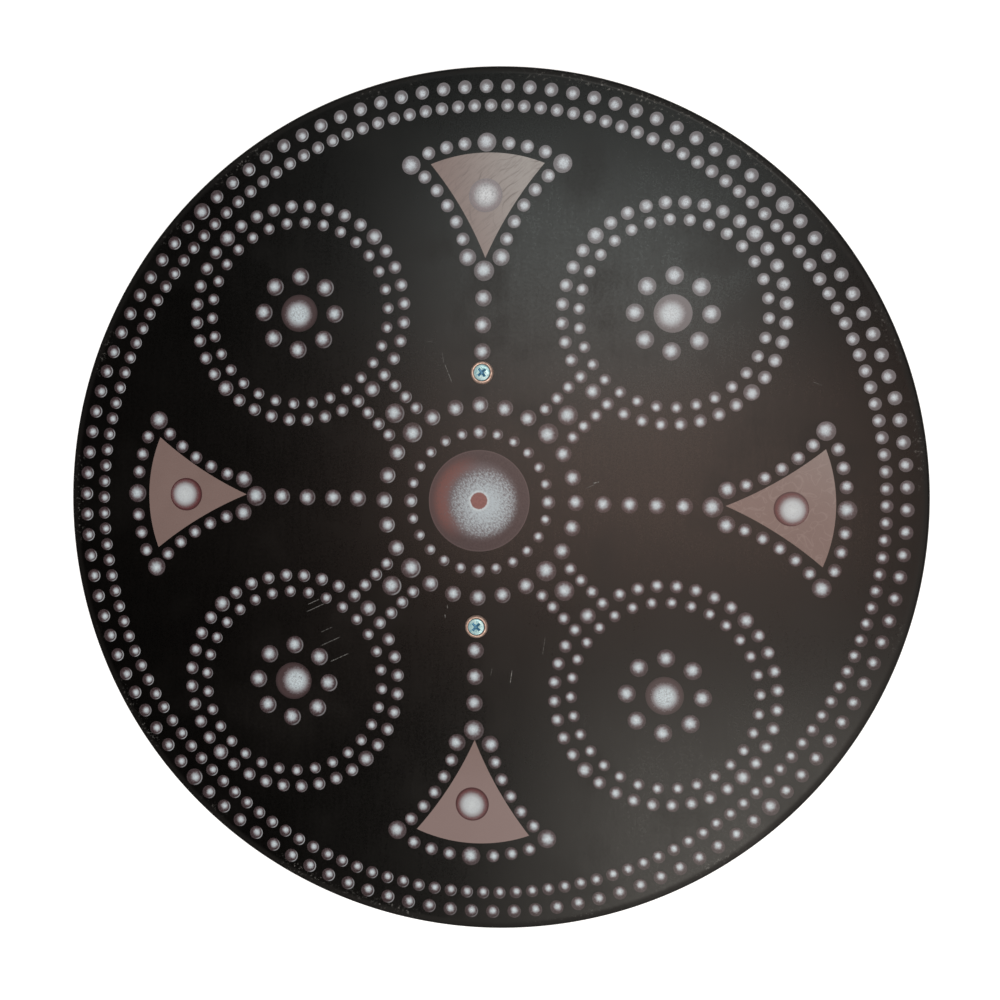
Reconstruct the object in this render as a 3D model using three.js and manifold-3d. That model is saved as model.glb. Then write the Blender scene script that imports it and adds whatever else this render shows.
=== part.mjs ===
// Wooden round shield of the Highland targe kind: a painted disc, a bridge grip screwed on its back,
// and two cross-head screws that pass through copper-coloured screw cups on the face.
// Millimetres, +Z up. The shield lies face up on the flat underside of its grip, +Y is the top of
// the design, and the origin is on the ground under the middle of the board.

import * as THREE from "three";
import { mergeVertices } from "three/addons/utils/BufferGeometryUtils.js";
import Module from "manifold-3d";

const wasm = await Module();
wasm.setup();

// ---- driving dimensions ----

const BOARD_DIAMETER = 432;
const BOARD_THICKNESS = 9;
const FACE_EDGE_ROUND = 1.5;
const BACK_EDGE_ROUND = 1;
const BOARD_SIDES = 192;
const FACE_ROUND_STEPS = 6;
const BACK_ROUND_STEPS = 4;

const SCREW_SPACING = 127;
// The row of screws was drilled one millimetre to the left of the board's true middle.
const SCREW_LINE_X = -1;
const SCREW_HOLE_RADIUS = 2.6;

const GRIP_LENGTH = 160;
const GRIP_WIDTH = 34;
const GRIP_DEPTH = 44;
const GRIP_BAR_THICKNESS = 16;
const GRIP_OUTER_ROUND = 26;
const GRIP_INNER_ROUND = 11;
const FINGER_GAP_LENGTH = 94;
const GRIP_EDGE_ROUND = 4;
const GRIP_EDGE_STEPS = 4;
const GRIP_ARC_STEPS = 10;
const PILOT_DEPTH = 28;
const PILOT_RADIUS = 2.3;

const SHANK_RADIUS = 2;
const SHANK_LENGTH = 34;
const SCREW_TIP_LENGTH = 4;
const HEAD_RADIUS = 4;
const HEAD_EDGE_HEIGHT = 1.6;
const HEAD_EDGE_BAND = 0.15;
const HEAD_DOME = 0.45;
const HEAD_DOME_STEPS = 4;
const RECESS_SPAN = 4.6;
const RECESS_ARM_WIDTH = 1.05;
const RECESS_DEPTH = 1.3;
const RECESS_TURN_TOP = 40;
const RECESS_TURN_BOTTOM = 47;
const SCREW_SIDES = 40;

const CUP_RADIUS = 5.7;
const CUP_HEIGHT = 1.8;
const CUP_CREST_RADIUS = 4.75;
const CUP_EDGE_HEIGHT = 0.3;
const CUP_ROUND_STEPS = 6;

// Paint or air between two pieces that meet, so that neither cuts into the other.
const SEAT = 0.1;
const HEAD_GAP = 0.3;

// ---- heights and places worked out from them ----

const BOARD_RADIUS = BOARD_DIAMETER / 2;
const BACK_Z = GRIP_DEPTH + SEAT;
const FACE_Z = BACK_Z + BOARD_THICKNESS;
const OVERSHOOT = 5;

// ---- finishes ----

const blackPaint = new THREE.MeshStandardMaterial({ color: 0x17140f, roughness: 0.42, metalness: 0 });
const plainWood = new THREE.MeshStandardMaterial({ color: 0xa9794a, roughness: 0.55, metalness: 0 });
const zincPlate = new THREE.MeshStandardMaterial({ color: 0x9fc6c9, roughness: 0.3, metalness: 1 });
const copperPlate = new THREE.MeshStandardMaterial({ color: 0xc08a66, roughness: 0.32, metalness: 1 });

// ---- helpers ----

const radians = (degrees) => (degrees * Math.PI) / 180;

// Points of a round arc (or an elliptical one) about a centre, both ends included.
function arc(centreX, centreY, radiusX, radiusY, fromDegrees, toDegrees, steps) {
  return Array.from({ length: steps + 1 }, (_, i) => {
    const angle = radians(fromDegrees + ((toDegrees - fromDegrees) * i) / steps);
    return new THREE.Vector2(centreX + radiusX * Math.cos(angle), centreY + radiusY * Math.sin(angle));
  });
}

// A profile of (radius, height) points, turned about the Z axis.
function turned(profile, sides) {
  const geometry = new THREE.LatheGeometry(profile, sides);
  geometry.rotateX(Math.PI / 2);
  return geometry;
}

function toSolid(geometry) {
  const bare = geometry.clone();
  bare.deleteAttribute("normal");
  bare.deleteAttribute("uv");
  const merged = mergeVertices(bare, 1e-4);
  return new wasm.Manifold(
    new wasm.Mesh({
      numProp: 3,
      vertProperties: new Float32Array(merged.attributes.position.array),
      triVerts: new Uint32Array(merged.index.array),
    }),
  );
}

function toGeometry(solid) {
  const mesh = solid.getMesh();
  const geometry = new THREE.BufferGeometry();
  geometry.setAttribute("position", new THREE.BufferAttribute(mesh.vertProperties, 3));
  geometry.setIndex(new THREE.BufferAttribute(mesh.triVerts, 1));
  return geometry;
}

function cutAway(geometry, cutters) {
  return toGeometry(cutters.reduce((solid, cutter) => solid.subtract(toSolid(cutter)), toSolid(geometry)));
}

// An upright round cutter between two heights.
function uprightHole(radius, x, y, lowZ, highZ) {
  const hole = new THREE.CylinderGeometry(radius, radius, highZ - lowZ, SCREW_SIDES);
  hole.rotateX(Math.PI / 2);
  hole.translate(x, y, (lowZ + highZ) / 2);
  return hole;
}

// ---- board: a turned disc, its edge eased more on the face than on the back ----

function boardGeometry() {
  const backRound = arc(
    BOARD_RADIUS - BACK_EDGE_ROUND, BACK_Z + BACK_EDGE_ROUND,
    BACK_EDGE_ROUND, BACK_EDGE_ROUND, -90, 0, BACK_ROUND_STEPS,
  );
  const faceRound = arc(
    BOARD_RADIUS - FACE_EDGE_ROUND, FACE_Z - FACE_EDGE_ROUND,
    FACE_EDGE_ROUND, FACE_EDGE_ROUND, 0, 90, FACE_ROUND_STEPS,
  );
  const profile = [
    new THREE.Vector2(0, BACK_Z),
    ...backRound,
    ...faceRound,
    new THREE.Vector2(0, FACE_Z),
  ];
  const holes = [-1, 1].map((side) =>
    uprightHole(
      SCREW_HOLE_RADIUS, SCREW_LINE_X, (side * SCREW_SPACING) / 2, BACK_Z - OVERSHOOT, FACE_Z + OVERSHOOT,
    ),
  );
  return cutAway(turned(profile, BOARD_SIDES), holes);
}

// ---- grip: a bridge of one piece of wood, sawn to its side outline and rounded along its edges ----

// The side outline, along the grip and up. The feet run past the board and are cut flat afterwards.
function gripOutline() {
  const end = GRIP_LENGTH / 2;
  const gapEnd = FINGER_GAP_LENGTH / 2;
  const footTop = GRIP_DEPTH + GRIP_EDGE_ROUND + OVERSHOOT;
  const outer = GRIP_OUTER_ROUND;
  const inner = GRIP_INNER_ROUND;
  return new THREE.Shape([
    new THREE.Vector2(-end, footTop),
    ...arc(-end + outer, outer, outer, outer, 180, 270, GRIP_ARC_STEPS),
    ...arc(end - outer, outer, outer, outer, 270, 360, GRIP_ARC_STEPS),
    new THREE.Vector2(end, footTop),
    new THREE.Vector2(gapEnd, footTop),
    ...arc(gapEnd - inner, GRIP_BAR_THICKNESS + inner, inner, inner, 0, -90, GRIP_ARC_STEPS),
    ...arc(-gapEnd + inner, GRIP_BAR_THICKNESS + inner, inner, inner, -90, -180, GRIP_ARC_STEPS),
    new THREE.Vector2(-gapEnd, footTop),
  ]);
}

function gripGeometry() {
  const bridge = new THREE.ExtrudeGeometry(gripOutline(), {
    depth: GRIP_WIDTH - 2 * GRIP_EDGE_ROUND,
    steps: 1,
    bevelEnabled: true,
    bevelThickness: GRIP_EDGE_ROUND,
    bevelSize: GRIP_EDGE_ROUND,
    bevelOffset: -GRIP_EDGE_ROUND,
    bevelSegments: GRIP_EDGE_STEPS,
  });
  bridge.translate(0, 0, GRIP_EDGE_ROUND - GRIP_WIDTH / 2);
  // The outline's axes (along, up, across) become Y, Z and X.
  bridge.applyMatrix4(new THREE.Matrix4().set(0, 0, 1, SCREW_LINE_X, 1, 0, 0, 0, 0, 1, 0, 0, 0, 0, 0, 1));
  const aboveBoard = new THREE.BoxGeometry(GRIP_LENGTH, 2 * GRIP_LENGTH, GRIP_DEPTH);
  aboveBoard.translate(0, 0, GRIP_DEPTH * 1.5);
  const pilots = [-1, 1].map((side) =>
    uprightHole(
      PILOT_RADIUS, SCREW_LINE_X, (side * SCREW_SPACING) / 2, GRIP_DEPTH - PILOT_DEPTH, GRIP_DEPTH + OVERSHOOT,
    ),
  );
  return cutAway(bridge, [aboveBoard, ...pilots]);
}

// ---- screw: shank, countersunk head with a low dome, and a cross recess, from its own face level ----

function crossOutline() {
  const reach = RECESS_SPAN / 2;
  const half = RECESS_ARM_WIDTH / 2;
  const quarter = [new THREE.Vector2(half, half), new THREE.Vector2(half, reach), new THREE.Vector2(-half, reach)];
  const middle = new THREE.Vector2(0, 0);
  return new THREE.Shape(
    [0, 90, 180, 270].flatMap((turn) => quarter.map((point) => point.clone().rotateAround(middle, radians(turn)))),
  );
}

function screwGeometry(recessTurn) {
  const neckZ = HEAD_EDGE_HEIGHT - (HEAD_RADIUS - SHANK_RADIUS);
  const domeZ = HEAD_EDGE_HEIGHT + HEAD_EDGE_BAND;
  const profile = [
    new THREE.Vector2(0, neckZ - SHANK_LENGTH),
    new THREE.Vector2(SHANK_RADIUS, neckZ - SHANK_LENGTH + SCREW_TIP_LENGTH),
    new THREE.Vector2(SHANK_RADIUS, neckZ),
    new THREE.Vector2(HEAD_RADIUS, HEAD_EDGE_HEIGHT),
    ...arc(0, domeZ, HEAD_RADIUS, HEAD_DOME, 0, 90, HEAD_DOME_STEPS),
  ];
  profile[profile.length - 1].x = 0;
  const cross = new THREE.ExtrudeGeometry(crossOutline(), { depth: RECESS_DEPTH + HEAD_DOME, bevelEnabled: false });
  cross.rotateZ(radians(recessTurn));
  cross.translate(0, 0, domeZ + HEAD_DOME - RECESS_DEPTH);
  return cutAway(turned(profile, SCREW_SIDES), [cross]);
}

// ---- cup: a turned ring with a rounded outside and a conical seat that the screw's head drops into ----

function cupGeometry() {
  const seatLowRadius = HEAD_RADIUS - HEAD_EDGE_HEIGHT + SEAT + HEAD_GAP;
  const seatHighRadius = HEAD_RADIUS + HEAD_GAP;
  const lip = (CUP_CREST_RADIUS - seatHighRadius);
  const profile = [
    new THREE.Vector2(seatLowRadius, SEAT),
    new THREE.Vector2(CUP_RADIUS, SEAT),
    ...arc(
      CUP_CREST_RADIUS, CUP_EDGE_HEIGHT,
      CUP_RADIUS - CUP_CREST_RADIUS, CUP_HEIGHT - CUP_EDGE_HEIGHT, 0, 90, CUP_ROUND_STEPS,
    ),
    ...arc(CUP_CREST_RADIUS, HEAD_EDGE_HEIGHT, lip, CUP_HEIGHT - HEAD_EDGE_HEIGHT, 120, 180, 2),
    new THREE.Vector2(seatLowRadius, SEAT),
  ];
  return turned(profile, SCREW_SIDES);
}

// ---- assembly ----

function piece(name, geometry, material, x = 0, y = 0, z = 0) {
  const mesh = new THREE.Mesh(geometry, material);
  mesh.name = name;
  mesh.position.set(x, y, z);
  return mesh;
}

const shield = new THREE.Group();
shield.add(piece("board", boardGeometry(), blackPaint));
shield.add(piece("grip", gripGeometry(), plainWood));
for (const [end, side, recessTurn] of [["top", 1, RECESS_TURN_TOP], ["bottom", -1, RECESS_TURN_BOTTOM]]) {
  const y = (side * SCREW_SPACING) / 2;
  shield.add(piece(`screw_${end}`, screwGeometry(recessTurn), zincPlate.clone(), SCREW_LINE_X, y, FACE_Z));
  shield.add(piece(`cup_${end}`, cupGeometry(), copperPlate.clone(), SCREW_LINE_X, y, FACE_Z));
}

export default shield;
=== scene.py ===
# %% [markdown]
# # A painted round shield
#
# The shield is a black round board with a printed pattern of nail heads, four wedges and a
# big middle boss, held by a wooden grip. Two cross-head screws in copper cups go through the
# board into the grip. It lies on its grip, face up.
#
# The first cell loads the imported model. Every size in this lesson starts from its boxes, so
# the looks and the solids share one frame, in metres.

import bmesh
import bpy
import numpy as np
from mathutils import Matrix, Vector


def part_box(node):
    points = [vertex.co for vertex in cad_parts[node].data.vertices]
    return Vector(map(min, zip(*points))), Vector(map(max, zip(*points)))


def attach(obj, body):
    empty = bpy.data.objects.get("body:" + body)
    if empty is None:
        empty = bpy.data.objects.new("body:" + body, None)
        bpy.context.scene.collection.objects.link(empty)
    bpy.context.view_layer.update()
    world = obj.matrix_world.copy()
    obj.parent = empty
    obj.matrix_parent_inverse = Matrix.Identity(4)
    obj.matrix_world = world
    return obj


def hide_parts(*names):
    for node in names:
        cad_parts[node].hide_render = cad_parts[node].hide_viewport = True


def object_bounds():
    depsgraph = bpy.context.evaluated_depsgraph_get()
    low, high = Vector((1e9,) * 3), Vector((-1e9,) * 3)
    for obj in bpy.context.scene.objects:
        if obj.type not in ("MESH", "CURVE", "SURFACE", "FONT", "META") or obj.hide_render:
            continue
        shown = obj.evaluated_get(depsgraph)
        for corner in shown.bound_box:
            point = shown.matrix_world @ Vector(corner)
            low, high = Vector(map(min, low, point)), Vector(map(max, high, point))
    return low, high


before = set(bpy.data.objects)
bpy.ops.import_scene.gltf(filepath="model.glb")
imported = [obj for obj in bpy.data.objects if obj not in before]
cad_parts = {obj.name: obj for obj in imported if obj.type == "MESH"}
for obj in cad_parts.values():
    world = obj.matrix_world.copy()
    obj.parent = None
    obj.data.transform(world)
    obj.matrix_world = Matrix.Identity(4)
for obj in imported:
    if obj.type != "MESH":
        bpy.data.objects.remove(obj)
CAD_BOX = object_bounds()
MM = 0.001

board_low, board_high = (np.array(corner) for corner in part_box("board"))
BOARD_RADIUS = (board_high[0] - board_low[0]) / 2
BACK_Z, FACE_Z = board_low[2], board_high[2]
print("nodes:", sorted(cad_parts))
print(f"board: {2 * BOARD_RADIUS / MM:.0f} mm across, face {FACE_Z / MM:.1f} mm up")

# %% [markdown]
# ## Putting numpy shapes into Blender
#
# Each new piece is a surface worked out as whole arrays. A turned piece, such as the board or
# a cup, is a grid: one direction runs along its profile and the other goes round. This cell
# has the two grid helpers and the one that makes a Blender object from points and faces.


# %% Helpers for shapes
def grid_faces(rows, columns):
    """Quads between neighbouring rows of points. The last column joins the first again."""
    row, column = np.meshgrid(np.arange(rows - 1), np.arange(columns), indexing="ij")
    after = (column + 1) % columns
    here, above = row * columns, (row + 1) * columns
    quads = [here + column, here + after, above + after, above + column]
    return np.stack(quads, -1).reshape(-1, 4).tolist()


def turn_profile(profile, sides):
    """Each profile point (radius, height) goes round: x = radius cos a, y = radius sin a."""
    angle = np.arange(sides) * 2 * np.pi / sides
    radius, height = profile[:, :1], profile[:, 1:]
    flat = np.zeros_like(angle)[None]
    return np.stack([radius * np.cos(angle), radius * np.sin(angle), height + flat], -1).reshape(-1, 3)


def arc(centre, size, start, end, steps):
    """Points on an ellipse quarter or less, from one angle to the other, in degrees."""
    angle = np.radians(np.linspace(start, end, steps + 1))
    return np.stack([centre[0] + size[0] * np.cos(angle), centre[1] + size[1] * np.sin(angle)], -1)


def finish_piece(piece, stands_for=None):
    """Says what the piece rides on and which solid it stands for."""
    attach(piece, "root")
    if stands_for:
        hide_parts(stands_for)
    print(f"{piece.name}: {len(piece.data.polygons)} faces")
    return piece


def make_object(name, points, faces):
    """A mesh object from arrays."""
    mesh = bpy.data.meshes.new(name)
    mesh.from_pydata(points.tolist(), [], faces)
    piece = bpy.data.objects.new(name, mesh)
    bpy.context.collection.objects.link(piece)
    return piece


def weld_and_face_outwards(piece):
    """Merges points that share a place, such as the poles, and turns every face outwards."""
    shape = bmesh.new()
    shape.from_mesh(piece.data)
    bmesh.ops.remove_doubles(shape, verts=shape.verts, dist=0.001 * MM)
    bmesh.ops.recalc_face_normals(shape, faces=shape.faces)
    shape.to_mesh(piece.data)
    shape.free()


def shade_rounds(piece, crisp_angle):
    """Smooth shading, but edges sharper than crisp_angle, in degrees, stay crisp."""
    piece.data.shade_smooth()
    piece.data.set_sharp_from_angle(angle=np.radians(crisp_angle))


def turned_piece(name, profile, sides, crisp_angle=30, closed=False):
    """A closed solid turned from a profile that starts and ends on the axis, or is a loop."""
    rows = np.vstack([profile, profile[:1]]) if closed else profile
    piece = make_object(name, turn_profile(rows, sides), grid_faces(len(rows), sides))
    weld_and_face_outwards(piece)
    shade_rounds(piece, crisp_angle)
    return piece


def move_mesh(piece, x, y, z):
    """The place goes into the mesh, and the object stays at the origin."""
    piece.data.transform(Matrix.Translation((x, y, z)))
    return piece


# %% [markdown]
# ## Helpers for finishes
#
# A finish is a small network of nodes. These helpers keep the recipes short: `maths` adds one
# Math node, `product` and `total` a row of them, `steps` one Map Range, `blend_colours` one
# Mix, and so on. Any input may be a number or another node's output.


# %% Helpers for finishes
def srgb(red, green, blue):
    """A paint-chart colour, 0 to 255, as the linear values that Blender's shaders use."""
    value = np.array([red, green, blue]) / 255
    linear = np.where(value <= 0.04045, value / 12.92, ((value + 0.055) / 1.055) ** 2.4)
    return (*linear.tolist(), 1.0)


def new_finish(name, roughness, metallic=0.0, specular=0.5):
    """A new material with one Principled shader, and its constant values set on it."""
    finish = bpy.data.materials.new(name)
    finish.use_nodes = True
    shader = finish.node_tree.nodes["Principled BSDF"]
    shader.inputs["Roughness"].default_value = roughness
    shader.inputs["Metallic"].default_value = metallic
    shader.inputs["Specular IOR Level"].default_value = specular
    return finish, finish.node_tree, shader


def grey(value):
    """A grey whose linear brightness is the value, for a ramp that gives a number."""
    return (value, value, value, 1.0)


def put(tree, value, socket):
    """Wires an output into a socket, or sets the socket to a plain value."""
    if isinstance(value, bpy.types.NodeSocket):
        tree.links.new(value, socket)
    else:
        socket.default_value = value


def maths(tree, operation, first, second=0.0):
    """One Math node."""
    step = tree.nodes.new("ShaderNodeMath")
    step.operation = operation
    put(tree, first, step.inputs[0])
    put(tree, second, step.inputs[1])
    return step.outputs[0]


def product(tree, first, *others):
    """All the values multiplied, with one Math node for each further value."""
    for other in others:
        first = maths(tree, "MULTIPLY", first, other)
    return first


def total(tree, first, *others):
    """All the values added, with one Math node for each further value."""
    for other in others:
        first = maths(tree, "ADD", first, other)
    return first


def vectors(tree, operation, first, second=(0.0, 0.0, 0.0)):
    """One Vector Math node. Its value output is used for a dot product or a length."""
    step = tree.nodes.new("ShaderNodeVectorMath")
    step.operation = operation
    put(tree, first, step.inputs[0])
    put(tree, second, step.inputs[1])
    return step.outputs["Value" if operation in ("DOT_PRODUCT", "LENGTH") else "Vector"]


def steps(tree, value, low, high, to_low=0.0, to_high=1.0):
    """A smooth step: to_low below low, to_high above high, and an S-curve between them."""
    step = tree.nodes.new("ShaderNodeMapRange")
    step.interpolation_type = "SMOOTHSTEP"
    for socket, number in zip(step.inputs[:5], (value, low, high, to_low, to_high)):
        put(tree, number, socket)
    return step.outputs[0]


def blend_colours(tree, amount, first, second):
    """One colour Mix node: first where amount is 0, second where it is 1."""
    step = tree.nodes.new("ShaderNodeMix")
    step.data_type = "RGBA"
    put(tree, amount, step.inputs[0])
    put(tree, first, step.inputs[6])
    put(tree, second, step.inputs[7])
    return step.outputs[2]


def place(tree):
    """The point on the piece, in its own metres."""
    return tree.nodes.new("ShaderNodeTexCoord").outputs["Object"]


def stretched(tree, where, scale, turn=0.0):
    """The same pattern coordinates, turned about the face's axis and then scaled.

    A Mapping node of the texture kind turns first and then divides, so it gets 1 / scale.
    """
    step = tree.nodes.new("ShaderNodeMapping")
    step.vector_type = "TEXTURE"
    step.inputs["Rotation"].default_value = (0.0, 0.0, np.radians(-turn))
    step.inputs["Scale"].default_value = [1 / part for part in scale]
    put(tree, where, step.inputs["Vector"])
    return step.outputs[0]


def noise(tree, where, size, detail=2.0, roughness=0.5, distortion=0.0):
    """Smooth random values near 0.5, whose blobs are about size metres across."""
    step = tree.nodes.new("ShaderNodeTexNoise")
    put(tree, where, step.inputs["Vector"])
    step.inputs["Scale"].default_value = 1 / size
    step.inputs["Detail"].default_value = detail
    step.inputs["Roughness"].default_value = roughness
    step.inputs["Distortion"].default_value = distortion
    return step.outputs["Fac"]


def colour_steps(tree, value, stops):
    """A Color Ramp from a list of (position, colour)."""
    step = tree.nodes.new("ShaderNodeValToRGB")
    ramp = step.color_ramp
    while len(ramp.elements) < len(stops):
        ramp.elements.new(0.5)
    for element, (position, colour) in zip(ramp.elements, stops):
        element.position = position
        element.color = colour
    put(tree, value, step.inputs[0])
    return step.outputs[0]


def bump(tree, shader, height, distance, strength):
    """Turns a height pattern into small slopes. distance is the height of a full step."""
    step = tree.nodes.new("ShaderNodeBump")
    step.inputs["Strength"].default_value = strength
    step.inputs["Distance"].default_value = distance
    put(tree, height, step.inputs["Height"])
    tree.links.new(step.outputs[0], shader.inputs["Normal"])


def attribute(tree, name):
    """A value that the piece's own mesh carries at its points."""
    step = tree.nodes.new("ShaderNodeAttribute")
    step.attribute_name = name
    return step.outputs["Vector"]


# %% [markdown]
# ## The board
#
# The real board is a sawn disc with eased edges, painted black all over. One profile turned
# round its axis gives it: flat back, small round, upright edge, larger round, flat face. An
# extra ring just inside each round keeps the flat sides flat in the light.
#
# The two screw holes are cut with a Boolean, because a profile can only give what is the same
# all the way round.

# %% The board and its screw holes
FACE_ROUND = 1.5 * MM
BACK_ROUND = 1.0 * MM
FLAT_RING = 0.3 * MM
PAST_BOARD = 5 * MM
ROUND_STEPS = 8
BOARD_SIDES = 384
SCREW_HOLE_RADIUS = 2.6 * MM
HOLE_SIDES = 48

screw_low, screw_high = (np.array(corner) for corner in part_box("screw_top"))
SCREW_X = (screw_low[0] + screw_high[0]) / 2
SCREW_Y = (screw_low[1] + screw_high[1]) / 2


def board_profile():
    """Back centre, back round, edge, face round, face centre, as (radius, height)."""
    face_edge, back_edge = BOARD_RADIUS - FACE_ROUND, BOARD_RADIUS - BACK_ROUND
    back_round = arc((back_edge, BACK_Z + BACK_ROUND), (BACK_ROUND, BACK_ROUND), -90, 0, ROUND_STEPS)
    face_round = arc((face_edge, FACE_Z - FACE_ROUND), (FACE_ROUND, FACE_ROUND), 0, 90, ROUND_STEPS)
    inside_back = [[0, BACK_Z], [BOARD_RADIUS * 0.5, BACK_Z], [back_edge - FLAT_RING, BACK_Z]]
    inside_face = [[face_edge - FLAT_RING, FACE_Z], [BOARD_RADIUS * 0.5, FACE_Z], [0, FACE_Z]]
    return np.vstack([inside_back, back_round, face_round, inside_face])


def cut_upright_holes(piece, radius, low, high):
    """Cuts one round hole at each screw, from one height to the other."""
    for side in (-1, 1):
        profile = np.array([[0, low], [radius, low], [radius, high], [0, high]])
        cutter = move_mesh(turned_piece("cutter", profile, HOLE_SIDES), SCREW_X, side * SCREW_Y, 0)
        cut = piece.modifiers.new("screw_hole", "BOOLEAN")
        cut.operation = "DIFFERENCE"
        cut.solver = "EXACT"
        cut.object = cutter
        seen = piece.evaluated_get(bpy.context.evaluated_depsgraph_get())
        piece.data = bpy.data.meshes.new_from_object(seen)
        piece.modifiers.clear()
        bpy.data.objects.remove(cutter)
    shade_rounds(piece, 30)
    return piece


board = turned_piece("painted_board", board_profile(), BOARD_SIDES)
cut_upright_holes(board, SCREW_HOLE_RADIUS, BACK_Z - PAST_BOARD, FACE_Z + PAST_BOARD)
finish_piece(board, "board")

# %% [markdown]
# ## Scratches
#
# The paint has a few short scratches, so they are listed one by one, in whole millimetres from
# the board's middle. Five lie parallel on the lower left. Each is a line, and the shader measures
# how far a point is from it: close means bare, scuffed paint. A fine noise then breaks the
# lines up, because a scratch rarely bites evenly.

# %% Scratches
SCRATCH_HALF_WIDTH = 0.15 * MM
PARALLEL_LEAN = 26
PARALLEL_SCRATCHES = [
    # middle x, middle y and length in whole millimetres, and how pale it is
    (-85, -54, 7, 0.50),
    (-84, -57, 11, 0.45),
    (-78, -68, 7, 0.30),
    (-76, -74, 12, 0.42),
    (-71, -82, 11, 0.58),
]
LONE_SCRATCHES = [
    # middle x, middle y and length, how pale it is, and its lean in degrees from rightwards
    (17, -88, 7, 0.60, 83),
    (7, -86, 4, 0.25, 80),
    (33, -72, 10, 0.20, 83),
    (-18, 63, 11, 0.42, 113),
    (-21, 71, 6, 0.20, 100),
    (-28, 79, 4, 0.22, 10),
    (57, 10, 3, 0.95, 15),
    (54, 8, 5, 0.25, 25),
    (-16, -54, 2, 0.45, 100),
    (-17, -59, 2, 0.60, 100),
    (162, 60, 5, 0.20, 160),
]


def scratch(tree, where, middle_x, middle_y, length, pale, lean):
    """A mask that is pale on a short line and 0 away from it: near the line, between its ends."""
    along = (float(np.cos(np.radians(lean))), float(np.sin(np.radians(lean))), 0.0)
    across = (-along[1], along[0], 0.0)
    off = vectors(tree, "SUBTRACT", where, (middle_x * MM, middle_y * MM, 0.0))
    aside = maths(tree, "ABSOLUTE", vectors(tree, "DOT_PRODUCT", off, across))
    on_line = steps(tree, aside, 0.3 * SCRATCH_HALF_WIDTH, 1.6 * SCRATCH_HALF_WIDTH, pale, 0.0)
    from_middle = maths(tree, "ABSOLUTE", vectors(tree, "DOT_PRODUCT", off, along))
    between = steps(tree, from_middle, 0.35 * length * MM, 0.5 * length * MM, 1.0, 0.0)
    return product(tree, on_line, between)


def scratch_marks(tree, where, flat_place):
    """All the scratches together, broken up by a fine noise."""
    parallel = [(*one_scratch, PARALLEL_LEAN) for one_scratch in PARALLEL_SCRATCHES]
    marks = 0.0
    for one_scratch in parallel + LONE_SCRATCHES:
        marks = maths(tree, "MAXIMUM", marks, scratch(tree, flat_place, *one_scratch))
    broken = steps(tree, noise(tree, where, 0.8 * MM, 3, 0.7), 0.38, 0.58, 0.15, 1.0)
    return product(tree, marks, broken)


print("scratches:", len(PARALLEL_SCRATCHES) + len(LONE_SCRATCHES))

# %% [markdown]
# ## Wear at the edge
#
# A shield is carried and leaned on its edge, so the paint is rubbed there. A noise with a
# threshold gives the specks, and they only show in a band just inside the edge. Most are on the
# upper right, where the corner of the edge is rubbed to a thin pale line as well.

# %% Wear at the edge
WEAR_BEGINS = (BOARD_RADIUS - 8.0 * MM, BOARD_RADIUS - 3.6 * MM)
WEAR_ENDS = (BOARD_RADIUS - 3.0 * MM, BOARD_RADIUS - 2.2 * MM)
CORNER_LINE = BOARD_RADIUS - 3.5 * MM
WORN_TOWARDS = (0.45, 0.89, 0.0)


def edge_wear(tree, where, flat_place, radius):
    """Specks in a band near the edge, most of them on the worn side, and the rubbed corner line."""
    at_edge = product(tree, steps(tree, radius, *WEAR_BEGINS), steps(tree, radius, *WEAR_ENDS, 1.0, 0.3))
    specks = steps(tree, noise(tree, where, 1.6 * MM, 5, 0.75), 0.56, 0.66)
    patches = steps(tree, noise(tree, where, 40 * MM, 1), 0.48, 0.62, 0.0, 0.6)
    worn_side = steps(tree, vectors(tree, "DOT_PRODUCT", flat_place, WORN_TOWARDS), 0.185, 0.21)
    rubbed = product(tree, at_edge, specks, maths(tree, "MAXIMUM", patches, worn_side))
    from_line = maths(tree, "ABSOLUTE", maths(tree, "SUBTRACT", radius, CORNER_LINE))
    line = product(tree, steps(tree, from_line, 0.15 * MM, 0.5 * MM, 0.28, 0.0), worn_side)
    line = product(tree, line, steps(tree, specks, 0.0, 1.0, 0.4, 1.0))
    return maths(tree, "MAXIMUM", rubbed, line)


# %% [markdown]
# ## Satin black paint
#
# The face is satin black: almost no colour of its own, but a soft sheen wherever a lamp is
# mirrored in it. So the paint is nearly black, and what shows is its roughness. That varies in
# cloudy patches, with faint upright streaks of the brush, a fine orange peel, a duller rim and
# one dull smudge, as from a thumb, beside the top wedge.
#
# The back has the same black, rolled on thinner, so the plywood's grain shows through it.

# %% The black paint
DULL_RIM = (BOARD_RADIUS - 4.5 * MM, BOARD_RADIUS - 2.0 * MM)
THUMB_SMUDGE = (0.047, 0.166, 0.0)
THUMB_SQUASH = (1.0, 0.7, 0.0)
DUST = srgb(60, 57, 54)
RUBBED_PAINT = srgb(122, 120, 116)
SCRATCHED_PAINT = srgb(168, 168, 165)


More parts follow.
